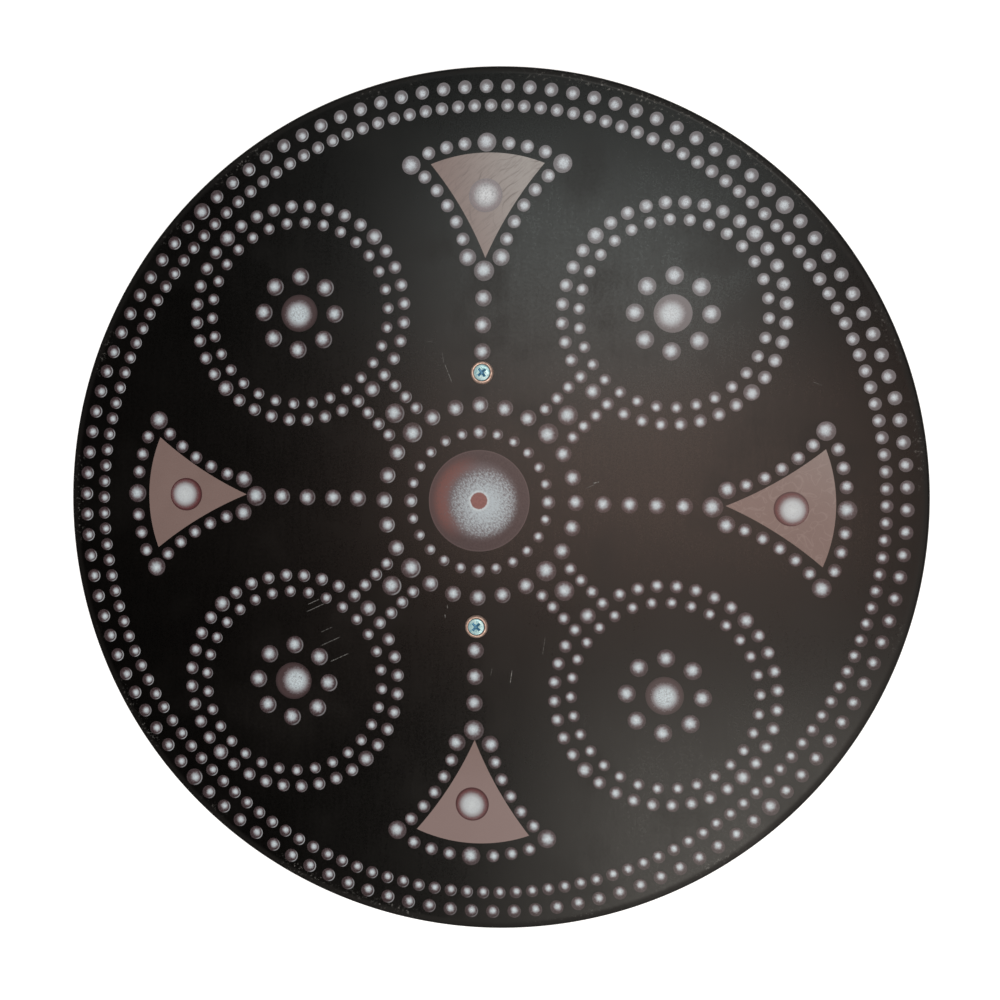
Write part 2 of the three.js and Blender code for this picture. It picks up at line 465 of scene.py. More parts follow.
def face_gloss(tree, where, flat_place, radius, clouds, peel):
    """The face's roughness: clouds, smudges, streaks, orange peel, dull rim and thumb mark, added up."""
    smudges = steps(tree, noise(tree, where, 34 * MM, 2, 0.5), 0.52, 0.72, 0.0, 0.04)
    streaks = noise(tree, stretched(tree, where, (1.0, 0.12, 1.0)), 2.4 * MM, 4, 0.7)
    from_thumb = vectors(tree, "SUBTRACT", flat_place, THUMB_SMUDGE)
    thumb = vectors(tree, "LENGTH", vectors(tree, "MULTIPLY", from_thumb, THUMB_SQUASH))
    thumb = total(tree, thumb, product(tree, clouds, 0.012))
    return total(
        tree,
        steps(tree, clouds, 0.2, 0.8, 0.26, 0.33),
        smudges,
        steps(tree, streaks, 0.2, 0.8, -0.015, 0.015),
        steps(tree, peel, 0.25, 0.75, -0.03, 0.03),
        steps(tree, radius, *DULL_RIM, 0.0, 0.22),
        steps(tree, thumb, 0.012, 0.024, 0.055, 0.0),
    )


def black_paint():
    """Satin black on the face, thinner and duller on the back, with scratches and edge wear."""
    finish, tree, shader = new_finish("satin_black_paint", 0.30)
    where = place(tree)
    split = tree.nodes.new("ShaderNodeSeparateXYZ")
    tree.links.new(where, split.inputs[0])
    on_back = steps(tree, split.outputs["Z"], BACK_Z + 0.1 * MM, BACK_Z + 0.6 * MM, 1.0, 0.0)
    flat_place = vectors(tree, "MULTIPLY", where, (1.0, 1.0, 0.0))
    radius = vectors(tree, "LENGTH", flat_place)
    marks = product(tree, scratch_marks(tree, where, flat_place), maths(tree, "SUBTRACT", 1.0, on_back))

    dust = steps(tree, noise(tree, where, 0.9 * MM, 2), 0.78, 0.86, 0.0, 0.35)
    clouds = noise(tree, where, 70 * MM, 3, 0.55)
    black = blend_colours(tree, clouds, srgb(1, 1, 1), srgb(4, 3, 2))
    grain = noise(tree, stretched(tree, where, (1.0, 0.05, 1.0)), 1.1 * MM, 5, 0.65, 0.4)
    brown = steps(tree, grain, 0.46, 0.72, 0.0, 0.55)
    back_black = blend_colours(tree, brown, srgb(24, 21, 19), srgb(70, 52, 38))
    colour = blend_colours(tree, on_back, black, back_black)
    colour = blend_colours(tree, dust, colour, DUST)
    colour = blend_colours(tree, edge_wear(tree, where, flat_place, radius), colour, RUBBED_PAINT)
    colour = blend_colours(tree, marks, colour, SCRATCHED_PAINT)
    tree.links.new(colour, shader.inputs["Base Color"])

    peel = noise(tree, where, 1.3 * MM, 3, 0.7)
    gloss = face_gloss(tree, where, flat_place, radius, clouds, peel)
    roughness = total(tree, gloss, product(tree, on_back, 0.36), product(tree, marks, 0.2))
    tree.links.new(roughness, shader.inputs["Roughness"])

    fine = total(tree, product(tree, peel, 0.25), product(tree, grain, 0.15))
    relief = total(tree, fine, product(tree, grain, on_back, 3.0))
    relief = maths(tree, "SUBTRACT", relief, product(tree, marks, 2.0))
    bump(tree, shader, relief, 0.03 * MM, 0.8)
    return finish


board.data.materials.clear()
board.data.materials.append(black_paint())
print("paint on:", board.name)

# %% [markdown]
# ## Where the printed nails go
#
# The pattern is drawn with a compass. Nails sit on circles, on straight lines, and on the bowed
# sides of the wedges, and everything comes four times, a quarter turn apart. So each part is
# worked out once, as an array of (x, y, radius), and then turned.
#
# The print is a little off the board's middle, and its rings are turned by a fraction of a
# degree against its wedges, as a screen print's layers often are.

# %% Compass work
PRINT_CENTRE = np.array([-1.2, -0.7])
RING_TURN = 0.2
QUARTERS = np.arange(4) * 90.0


def turned_by(points, degrees):
    """x' = x cos a - y sin a, y' = x sin a + y cos a. Further columns stay."""
    angle = np.radians(degrees)
    cosine, sine = np.cos(angle), np.sin(angle)
    turned = points.copy()
    turned[:, 0] = cosine * points[:, 0] - sine * points[:, 1]
    turned[:, 1] = sine * points[:, 0] + cosine * points[:, 1]
    return turned


def on_circle(centre, radius, degrees):
    """x = centre x + radius cos a, y = centre y + radius sin a."""
    angle = np.radians(degrees)
    return np.stack([centre[0] + radius * np.cos(angle), centre[1] + radius * np.sin(angle)], -1)


def circle(count, ring_radius, first_angle, nail_radius, big_radius=None, big_every=1, big_from=0):
    """Nails evenly round a circle. Every big_every-th one, from big_from on, may be bigger."""
    number = np.arange(count)
    size = np.full(count, float(nail_radius))
    if big_radius:
        size[number % big_every == big_from] = big_radius
    return np.column_stack([on_circle((0.0, 0.0), ring_radius, first_angle + number * 360 / count), size])


def line(start, step, count, aside, nail_radius):
    """Nails evenly along a straight line that runs outwards, aside from it by a fixed amount."""
    out = start + step * np.arange(count)
    return np.stack([out, np.full(count, float(aside)), np.full(count, float(nail_radius))], -1)


def moved(points, x, y):
    """The same nails somewhere else."""
    return points + np.array([x, y, 0.0])


rim_nails = np.vstack([
    circle(120, 206.4, 0.226, 3.4, 4.3, 30, 15),
    circle(150, 196.9, 0.704, 3.15),
])
middle_rings = np.vstack([
    circle(24, 34.7, 0.6, 2.8, 3.5, 6, 0),
    circle(24, 48.3, 0.5, 4.1, 5.1, 6, 3),
])
print("rim nails:", len(rim_nails), " middle rings:", len(middle_rings))

# %% [markdown]
# ## Rosettes, arms and spokes
#
# Each rosette is two rings of nails round eight petals and a boss. Two short rows of nails join
# it to the middle, and a row of nails on each main axis joins the middle to a wedge. The
# screws take the innermost place on the upright axis.

# %% Rosettes, arms and spokes
ROSETTE_DISTANCE = 132.7
ROSETTE_BOSS = 9.4
DIAGONALS = 45 + QUARTERS

rosette_rings = np.vstack([
    circle(36, 54.2, 0.2, 3.3, 4.0, 9, 0),
    circle(30, 45.9, 0.2, 2.95),
])
rosette_petals = circle(8, 18.5, -1.1, 4.5)
arm_nails = np.vstack([
    line(55.8, 7.8, 3, 9.7, 3.2),
    line(55.8, 7.8, 3, -9.7, 3.2),
    line(61.6, 1.0, 1, 0.0, 5.0),
])


def on_diagonals(points):
    """Four copies, one on each diagonal, with the rings' small turn."""
    return np.vstack([turned_by(points, degrees + RING_TURN) for degrees in DIAGONALS])


def on_axes(points, axes=QUARTERS):
    """Four copies, one on each main axis."""
    return np.vstack([turned_by(points, degrees) for degrees in axes])


all_rosette_rings = on_diagonals(moved(rosette_rings, ROSETTE_DISTANCE, 0))
all_petals = on_diagonals(moved(rosette_petals, ROSETTE_DISTANCE, 0))
all_arms = on_diagonals(arm_nails)
spokes = np.vstack([
    on_axes(line(74.8, 13.3, 3, 0.0, 4.2)),
    on_axes(line(61.8, 1.0, 1, 0.0, 4.2), QUARTERS[::2]),
    on_axes(line(115.0, 1.0, 1, 0.0, 5.1)),
])
print("rosettes:", len(all_rosette_rings) + len(all_petals))
print("arms and spokes:", len(all_arms) + len(spokes))

# %% [markdown]
# ## Wedges
#
# A wedge has a point towards the middle, two sides that bow inwards and a round outer edge.
# Its nails follow larger circles, so the same circle formula gives them: the side nails lie on
# a circle whose centre is beside the wedge, and the outer ones on a circle round a point inside.

# %% Wedge outlines and their nails
WEDGE_POINT = 120.7
WEDGE_CORNER = np.array([167.4, 28.5])
WEDGE_SIDE_BOW = 2.05
WEDGE_ARC_CENTRE = 96.3
WEDGE_ARC_RADIUS = 76.6
WEDGE_SIDE_CENTRE = (104.09, 85.44)
WEDGE_SIDE_RADIUS = 78.84
WEDGE_SIDE_ANGLES = -77.09 + 6.82 * np.arange(7)
WEDGE_NAIL_ARC_CENTRE = (88.5, 0.0)
WEDGE_NAIL_ARC_RADIUS = 90.2
WEDGE_NAIL_ARC_ANGLES = 7.2 + 6.1 * np.arange(3)
WEDGE_NAIL_SIZES = [4.3] + [3.3] * 5 + [4.7] + [3.3] * 3
WEDGE_NAIL_TIGHTER = 0.975
WEDGE_TIP_AT = 178.7
WEDGE_TIP_NAIL = 4.7
WEDGE_BOSS_AT = 152.4
WEDGE_BOSS = 8.4
PANEL_SHIFT = np.array([0.5, 0.7])


def wedge_nails_on_one_side():
    """Neck, five small nails and a corner on the side circle, then three on the outer circle."""
    side = on_circle(WEDGE_SIDE_CENTRE, WEDGE_SIDE_RADIUS, WEDGE_SIDE_ANGLES)
    outer = on_circle(WEDGE_NAIL_ARC_CENTRE, WEDGE_NAIL_ARC_RADIUS, WEDGE_NAIL_ARC_ANGLES)
    places = np.vstack([side, outer]) * np.array([1.0, WEDGE_NAIL_TIGHTER])
    return np.column_stack([places, WEDGE_NAIL_SIZES])


def wedge_outline(steps_per_side=20):
    """Point, bowed side, round outer edge, bowed side back: a side at share t bows by 4 t (1 - t)."""
    share = np.linspace(0, 1, steps_per_side + 1)[:, None]
    start = np.array([WEDGE_POINT, 0.0])
    run = WEDGE_CORNER - start
    inward = np.array([run[1], -run[0]]) / np.linalg.norm(run)
    right_side = start + run * share + inward * WEDGE_SIDE_BOW * 4 * share * (1 - share)
    reach = np.degrees(np.arctan2(WEDGE_CORNER[1], WEDGE_CORNER[0] - WEDGE_ARC_CENTRE))
    degrees = np.linspace(-reach, reach, 2 * steps_per_side + 1)[1:-1]
    outer = on_circle((WEDGE_ARC_CENTRE, 0.0), WEDGE_ARC_RADIUS, degrees)
    mirrored = right_side * np.array([1.0, -1.0])
    return np.vstack([mirrored, outer, right_side[:0:-1]])


one_side = wedge_nails_on_one_side()
other_side = one_side * np.array([1.0, -1.0, 1.0])
all_wedge_nails = on_axes(np.vstack([one_side, other_side]))
all_wedge_tips = on_axes(np.array([[WEDGE_TIP_AT, 0.0, WEDGE_TIP_NAIL]]))
wedge_panels = np.stack([turned_by(wedge_outline(), degrees) for degrees in QUARTERS])
wedge_panels = wedge_panels + PRINT_CENTRE + PANEL_SHIFT
print("wedge nails:", len(all_wedge_nails) + len(all_wedge_tips))
print("points on a wedge's outline:", wedge_panels.shape[1])

# %% [markdown]
# ## Ink as thin plates
#
# The nails are flat ink, and the light on them is only printed. Each patch of ink is a plate
# that stands a tenth of a millimetre or so above the paint: a top outline, a bottom outline a
# little way into the paint, and a wall between them. A nail's plate has no more than a few
# dozen faces, because there are hundreds of nails.
#
# Each plate's points carry two attributes. `disc` is the place on the nail, in nail radii from
# its middle. `glow` is the same from the middle of its printed highlight, with the strength of
# the printed rim light as its third number. The highlights don't sit in the middle: on the
# rim and middle rings they lean towards the shield's centre, on a rosette's rings away from
# the rosette's own, and each leans a little differently.

# %% Ink plates
INK_TOP = FACE_Z + 0.12 * MM
PANEL_TOP = FACE_Z + 0.06 * MM
INK_BOTTOM = FACE_Z - 0.05 * MM
NAIL_SIDES = 24
NAIL_WOBBLE = 0.12
random = np.random.default_rng(11)


def plates(name, outlines, top):
    """Upright plates from outlines (how many, points each, x and y), in millimetres."""
    count, corners = outlines.shape[:2]
    upper = np.concatenate([outlines * MM, np.full((count, corners, 1), top)], -1)
    lower = np.concatenate([outlines * MM, np.full((count, corners, 1), INK_BOTTOM)], -1)
    points = np.stack([upper, lower], 1)
    first = np.arange(count)[:, None] * 2 * corners
    here = np.arange(corners)[None]
    after = (here + 1) % corners
    tops = first + here
    bottoms = first + corners + here[:, ::-1]
    walls = np.stack([first + here, first + corners + here, first + corners + after, first + after], -1)
    faces = tops.tolist() + bottoms.tolist() + walls.reshape(-1, 4).tolist()
    return finish_piece(make_object(name, points.reshape(-1, 3), faces))


def carry(piece, name, values):
    """Puts one vector at each point of the mesh, under a name that a finish can read."""
    layer = piece.data.attributes.new(name, "FLOAT_VECTOR", "POINT")
    layer.data.foreach_set("vector", np.ascontiguousarray(values, dtype=np.float32).ravel())


def round_plates(name, nails, lean, sides=NAIL_SIDES, rim_light=None, tightness=1.0):
    """Round plates from (x, y, radius): glow = (disc - lean / radius) times tightness."""
    edge = on_circle((0.0, 0.0), 1.0, np.arange(sides) * 360 / sides)
    middles, radius = nails[:, :2] + PRINT_CENTRE, nails[:, 2]
    piece = plates(name, middles[:, None] + edge[None] * radius[:, None, None], INK_TOP)
    glow = (edge[None] - (lean / radius[:, None])[:, None]) * tightness
    strength = np.zeros(len(nails)) if rim_light is None else rim_light
    height = np.broadcast_to(strength[:, None, None], (len(nails), sides, 1))
    both = np.concatenate([glow, height], -1)
    flat = np.concatenate([np.broadcast_to(edge[None], glow.shape), np.zeros_like(height)], -1)
    carry(piece, "glow", np.stack([both, both], 1).reshape(-1, 3))
    carry(piece, "disc", np.stack([flat, flat], 1).reshape(-1, 3))
    return piece


def lean_from(nails, centre, outward, sideways):
    """Highlight shifts, in millimetres: outward from a centre, sideways round it, and a small wobble."""
    run = nails[:, :2] - centre
    run = run / np.linalg.norm(run, axis=1, keepdims=True)
    aside = np.stack([-run[:, 1], run[:, 0]], -1)
    return outward * run + sideways * aside + random.normal(0, NAIL_WOBBLE, run.shape)


def rim_light_on(nails, share):
    """The printed crescent is strong on the left of the shield and gone on its right."""
    base = np.clip((40 - nails[:, 0]) / 110, 0, 1)
    return base * share * random.uniform(0.5, 1.0, len(nails))


# %% [markdown]
# The nails are grouped into a few pieces by where they are: rim, middle, rosettes, arms and
# spokes, wedges. Pieces of a few hundred plates are easy to pick in the outliner and light to
# draw.

# %% Nail pieces
nail_pieces = []
STEADY_LEAN = np.array([-0.25, 0.15])
RING_LEAN = (-0.4, 0.2)
ROSETTE_LEAN = (0.3, -0.2)
WEDGE_LEAN = 0.4
RIM_TIGHTNESS = 1.13
ROSETTE_MIDDLES = on_diagonals(np.array([[ROSETTE_DISTANCE, 0.0, ROSETTE_BOSS]]))


def nail_piece(name, nails, lean, crescent_share, tightness=1.0):
    """One piece of nails with their printed rim light."""
    rim_light = rim_light_on(nails, crescent_share)
    nail_pieces.append(round_plates(name, nails, lean, rim_light=rim_light, tightness=tightness))


ring_lean = np.vstack([
    lean_from(group, middle[:2], *ROSETTE_LEAN)
    for group, middle in zip(np.split(all_rosette_rings, 4), ROSETTE_MIDDLES)
])
wedge_axis_side = np.repeat(np.tile([WEDGE_LEAN, -WEDGE_LEAN], 4), len(one_side))
wedge_across = np.repeat(np.radians(QUARTERS + 90), 2 * len(one_side))
wedge_lean = wedge_axis_side[:, None] * np.stack([np.cos(wedge_across), np.sin(wedge_across)], -1)


def wobbling(nails):
    """The same lean for each nail, with the small wobble of a hand-drawn print."""
    return STEADY_LEAN + random.normal(0, NAIL_WOBBLE, (len(nails), 2))


nail_piece("rim_nails", rim_nails, lean_from(rim_nails, np.zeros(2), *RING_LEAN), 1.0, RIM_TIGHTNESS)
nail_piece("middle_nails", middle_rings, lean_from(middle_rings, np.zeros(2), *RING_LEAN), 0.9)
nail_piece("rosette_nails", all_rosette_rings, ring_lean, 0.55)
nail_piece("petal_nails", all_petals, wobbling(all_petals), 0.5)
nail_piece("arm_nails", all_arms, wobbling(all_arms), 0.8)
nail_piece("spoke_nails", spokes, wobbling(spokes), 0.3)
wedge_lean = wedge_lean + random.normal(0, NAIL_WOBBLE, wedge_lean.shape)
nail_piece("wedge_nails", all_wedge_nails, wedge_lean, 0.15)
nail_piece("wedge_tip_nails", all_wedge_tips, wobbling(all_wedge_tips), 0.15)
print("printed nails:", sum(len(piece.data.vertices) for piece in nail_pieces) // (2 * NAIL_SIDES))

# %% [markdown]
# ## Nail ink
#
# Seen close, a printed nail is a mauve disc with a blue-white highlight that breaks up into
# grains towards its edge, like a spray of fine dots. The finish measures the distance from the
# highlight's middle, roughens it with a fine noise, and reads the colour off a ramp.
#
# On the left of the shield the black layer slipped, so a thin pale crescent shows at each
# nail's lower right, with a dark gap before it.
#
# Towards the top and the upper right the face mirrors the lamps. That light is painted into every printed
# ink there as a pale grey wash, a painted sheen, broken by dark specks.

# %% Nail ink
MAUVE = srgb(57, 42, 45)
PALE_BLUE = srgb(187, 200, 207)
GRAIN_SIZE = 0.5 * MM
STAR_SIZE = 1.2 * MM
PAINTED_SHEEN_TOWARDS = (0.42, 0.9, 0.0)
PAINTED_SHEEN_RANGE = (0.05, 0.17)
CRESCENT_TOWARDS = (0.92, -0.39, 0.0)


def ink_finish(name, roughness=0.31):
    """A satin ink with the fine relief that all the printed parts share."""
    finish, tree, shader = new_finish(name, roughness, specular=0.5)
    where = place(tree)
    bump(tree, shader, noise(tree, where, 1.2 * MM, 3, 0.6), 0.02 * MM, 0.7)
    return finish, tree, shader, where


def painted_sheen_share(tree, where, most):
    """0 low on the board, most at the top and upper right, where the lamps' sheen is painted in."""
    towards = vectors(tree, "DOT_PRODUCT", where, PAINTED_SHEEN_TOWARDS)
    return steps(tree, towards, *PAINTED_SHEEN_RANGE, 0.0, most)


def with_painted_sheen(tree, where, colour, painted_sheen_colour, most):
    """The same colour with the painted sheen over it."""
    return blend_colours(tree, painted_sheen_share(tree, where, most), colour, painted_sheen_colour)


def speckled_painted_sheen(tree, where, colour, most):
    """Dark specks a millimetre across, which break up the painted sheen."""
    sheen_specks = steps(tree, noise(tree, where, 0.85 * MM, 2, 0.6, 1.0), 0.52, 0.40)
    share = product(tree, sheen_specks, painted_sheen_share(tree, where, most))
    return blend_colours(tree, share, colour, srgb(106, 103, 107))


def nail_ink():
    """Colour by distance from the printed highlight, with grains, a crescent and a painted sheen."""
    finish, tree, shader, where = ink_finish("nail_ink")
    glow = attribute(tree, "glow")
    disc = attribute(tree, "disc")
    flat_glow = vectors(tree, "MULTIPLY", glow, (1.0, 1.0, 0.0))
    distance = vectors(tree, "LENGTH", flat_glow)
    from_middle = vectors(tree, "LENGTH", disc)
    grain = maths(tree, "SUBTRACT", noise(tree, where, GRAIN_SIZE, 3, 0.7), 0.5)
    clumps = maths(tree, "SUBTRACT", noise(tree, where, STAR_SIZE, 1), 0.5)
    spread = total(tree, product(tree, grain, 0.55), product(tree, clumps, 0.30))
    rough_distance = total(tree, distance, spread)
    shine = colour_steps(tree, rough_distance, [
        (0.0, srgb(208, 220, 226)),
        (0.26, PALE_BLUE),
        (0.44, srgb(160, 167, 173)),
        (0.60, srgb(120, 115, 120)),
        (0.75, srgb(78, 62, 66)),
        (0.90, MAUVE),
    ])
    speckle = steps(tree, grain, -0.12, 0.04, 0.40, 0.0)
    shine = blend_colours(tree, speckle, shine, srgb(92, 86, 90))
    direction = vectors(tree, "DOT_PRODUCT", vectors(tree, "NORMALIZE", disc), CRESCENT_TOWARDS)
    facing = steps(tree, direction, 0.1, 0.8)
    strength = vectors(tree, "DOT_PRODUCT", glow, (0.0, 0.0, 1.0))
    side_light = product(tree, facing, strength)
    gap = product(tree, steps(tree, from_middle, 0.58, 0.72), side_light, 0.55)
    before_edge = steps(tree, from_middle, 0.93, 0.99, 1.0, 0.0)
    pale_arc = product(tree, steps(tree, from_middle, 0.79, 0.85), before_edge)
    crescent = product(tree, pale_arc, side_light, 0.85)
    core_share = steps(tree, rough_distance, 0.25, 0.85, 1.0, 0.0)
    # Painted sheen: towards the top and upper right the ink is washed pale grey, paler in the highlight.
    painted_sheen_colour = blend_colours(tree, core_share, srgb(124, 121, 125), srgb(198, 206, 213))
    shine = with_painted_sheen(tree, where, shine, painted_sheen_colour, 0.75)
    shine = speckled_painted_sheen(tree, where, shine, 0.38)
    colour = blend_colours(tree, gap, shine, srgb(40, 31, 33))
    colour = blend_colours(tree, crescent, colour, srgb(166, 171, 176))
    tree.links.new(colour, shader.inputs["Base Color"])
    return finish


nail_finish = nail_ink()
for piece in nail_pieces:
    piece.data.materials.append(nail_finish)

# %% [markdown]
# ## Wedge panels
#
# The wedges are flat taupe ink. A real screen print is never quite even: there are faint
# clouds, and the right wedge has pale wandering lines where patches of ink meet. On the top
# wedge the wood shows through, as curved rings round a knot and as a fine slanting hatch.

# %% Wedge panels
KNOT = (0.026, 0.142, 0.0)
KNOT_SQUASH = (1.0, 1.25, 0.0)
RING_STEP = 5.2 * MM
TOP_WEDGE = (0.06, 0.14)

panels = plates("wedge_panels", wedge_panels, PANEL_TOP)


def taupe_ink():
    """Taupe with faint clouds, patch lines on the right wedge and grain lines on the top one, under a
    painted sheen towards the top and upper right.
    """
    finish, tree, shader, where = ink_finish("taupe_ink", 0.34)
    clouds = noise(tree, where, 16 * MM, 3, 0.6)
    base = blend_colours(tree, clouds, srgb(117, 96, 91), srgb(128, 107, 102))
    patches = noise(tree, where, 7 * MM, 1, 0.5, 0.8)
    patch_edge = maths(tree, "ABSOLUTE", maths(tree, "SUBTRACT", patches, 0.5))
    patch_line = steps(tree, patch_edge, 0.0, 0.035, 0.30, 0.0)
    rightward = vectors(tree, "DOT_PRODUCT", where, (1.0, 0.0, 0.0))
    patch_line = product(tree, patch_line, steps(tree, rightward, 0.05, 0.12))
    base = blend_colours(tree, patch_line, base, srgb(152, 134, 129))
    from_knot = vectors(tree, "MULTIPLY", vectors(tree, "SUBTRACT", where, KNOT), KNOT_SQUASH)
    from_knot = vectors(tree, "LENGTH", from_knot)
    bent = product(tree, noise(tree, where, 20 * MM, 2), 14 * MM)
    ring_place = maths(tree, "DIVIDE", total(tree, from_knot, bent), RING_STEP)
    into_ring = maths(tree, "FRACT", ring_place)
    broken = steps(tree, noise(tree, where, 15 * MM, 2), 0.38, 0.58)
    fine_line = product(tree, steps(tree, into_ring, 0.0, 0.20, 1.0, 0.0), broken)
    upward = vectors(tree, "DOT_PRODUCT", where, (0.0, 1.0, 0.0))
    fine_line = product(tree, fine_line, steps(tree, upward, *TOP_WEDGE, 0.0, 0.8))
    fine_line = product(tree, fine_line, steps(tree, rightward, -0.02, 0.01, 0.25, 1.0))
    base = blend_colours(tree, steps(tree, upward, -0.11, -0.15, 0.0, 0.6), base, srgb(138, 119, 117))
    # Painted sheen: towards the top and upper right the taupe is washed grey, greyer on the right.
    sheen_grey_share = steps(tree, rightward, -0.03, 0.02, 0.25, 1.0)
    sheen_tint = blend_colours(tree, sheen_grey_share, base, srgb(160, 157, 154))
    base = with_painted_sheen(tree, where, base, sheen_tint, 0.9)
    on_top_wedge = steps(tree, upward, *TOP_WEDGE)
    line_colour = blend_colours(tree, on_top_wedge, srgb(152, 133, 128), srgb(98, 88, 86))
    colour = blend_colours(tree, fine_line, base, line_colour)
    hatch = noise(tree, stretched(tree, where, (0.12, 1.0, 1.0), -42), 0.8 * MM, 3, 0.6)
    hatch_most = steps(tree, upward, *TOP_WEDGE, 0.0, 0.30)
    hatch_share = product(tree, steps(tree, hatch, 0.48, 0.66), hatch_most)
    colour = blend_colours(tree, hatch_share, colour, line_colour)
    flecks = steps(tree, noise(tree, where, 0.7 * MM, 3, 0.7), 0.3, 0.7, 0.0, 0.14)
    colour = blend_colours(tree, flecks, colour, srgb(146, 127, 122))
    tree.links.new(colour, shader.inputs["Base Color"])
    return finish


panels.data.materials.append(taupe_ink())

# %% [markdown]
# ## Bosses
#
# The bosses are bigger nails, and up close each kind differs. A rosette's boss has a wide mauve
# ring and a grainy white core. A wedge's boss has a thin wine-red ring and a smoother core. No
# core sits quite in the middle, and each is off it in its own direction. One recipe with a few
# numbers makes both.

# %% Rosette and wedge bosses
BOSS_SIDES = 64
# Painted sheen: the grey that a boss's ring turns where the lamps are mirrored.
PAINTED_SHEEN_RING = srgb(146, 142, 145)

wedge_bosses = on_axes(np.array([[WEDGE_BOSS_AT, 0.0, WEDGE_BOSS]]))
rosette_boss_lean = np.array([[-0.9, -0.3], [-0.3, -0.5], [1.4, 0.2], [0.2, -0.5]])
wedge_boss_lean = np.array([[0.7, -0.5], [0.2, 0.2], [-0.6, 0.1], [-0.1, -0.4]])
rosette_boss_piece = round_plates("rosette_bosses", ROSETTE_MIDDLES, rosette_boss_lean, BOSS_SIDES)
wedge_boss_piece = round_plates("wedge_bosses", wedge_bosses, wedge_boss_lean, BOSS_SIDES)


def boss_ink(name, ring, ring_edge, core_stops, grain_amount, speckle_share, painted_sheen_most):
    """A core whose colour goes by distance from its middle, over a ring with a darker edge, under a painted
    sheen.
    """
    finish, tree, shader, where = ink_finish(name)
    distance = vectors(tree, "LENGTH", attribute(tree, "glow"))
    from_middle = vectors(tree, "LENGTH", attribute(tree, "disc"))
    grain = maths(tree, "SUBTRACT", noise(tree, where, 0.6 * MM, 4, 0.75), 0.5)
    rough_distance = total(tree, distance, product(tree, grain, grain_amount))
    core = colour_steps(tree, rough_distance, core_stops)
    speckle = steps(tree, grain, -0.14, 0.06, speckle_share, 0.0)
    core = blend_colours(tree, speckle, core, srgb(104, 98, 103))
    rim = blend_colours(tree, steps(tree, from_middle, 0.84, 0.97), ring, ring_edge)
    in_ring = steps(tree, rough_distance, core_stops[-1][0] - 0.05, core_stops[-1][0] + 0.03)
    # Painted sheen: towards the top and upper right the core turns pale grey and the ring grey.
    sheen_distance = total(tree, distance, product(tree, grain, 0.6))
    sheen_share = steps(tree, sheen_distance, 0.05, 0.90)
    sheen_tint = blend_colours(tree, sheen_share, srgb(214, 217, 221), PAINTED_SHEEN_RING)
    core = with_painted_sheen(tree, where, core, sheen_tint, painted_sheen_most)
    rim = with_painted_sheen(tree, where, rim, PAINTED_SHEEN_RING, painted_sheen_most)
    colour = blend_colours(tree, in_ring, core, rim)
    colour = speckled_painted_sheen(tree, where, colour, 0.6 * painted_sheen_most)
    tree.links.new(colour, shader.inputs["Base Color"])
    return finish


rosette_boss_piece.data.materials.append(boss_ink("rosette_boss_ink", srgb(70, 54, 56), srgb(58, 44, 46), [
    (0.0, srgb(200, 213, 219)),
    (0.40, srgb(190, 203, 209)),
    (0.56, srgb(156, 160, 165)),
    (0.66, srgb(116, 108, 112)),
    (0.77, srgb(72, 56, 58)),
], 0.42, 0.7, 0.6))
wedge_boss_piece.data.materials.append(boss_ink("wedge_boss_ink", srgb(98, 52, 54), srgb(72, 38, 41), [
    (0.0, srgb(198, 205, 208)),
    (0.46, srgb(184, 190, 194)),
    (0.66, srgb(150, 147, 150)),
    (0.78, srgb(112, 86, 88)),
    (0.90, srgb(98, 54, 56)),
], 0.20, 0.20, 0.85))

# %% [markdown]
# ## The middle boss
#
# The biggest disc has the richest shading: a wine-red dot with a pale edge, a bright stippled
# field that gets darker and more broken outwards, a red glow on the left, and a translucent mauve
# ring with a faint pale border. The field is brightest to the lower right.
#
# The stipple is a noise with a threshold. Near the middle almost every grain is white, and
# further out the threshold rises until none is.

# %% The middle boss
MIDDLE_BOSS = 25.4
DOT_RADIUS = 4.2
MIDDLE_SIDES = 128

middle_disc = np.array([[0.0, 0.3, MIDDLE_BOSS]])
middle_boss = round_plates("middle_boss", middle_disc, np.array([[2.9, -1.6]]), MIDDLE_SIDES)


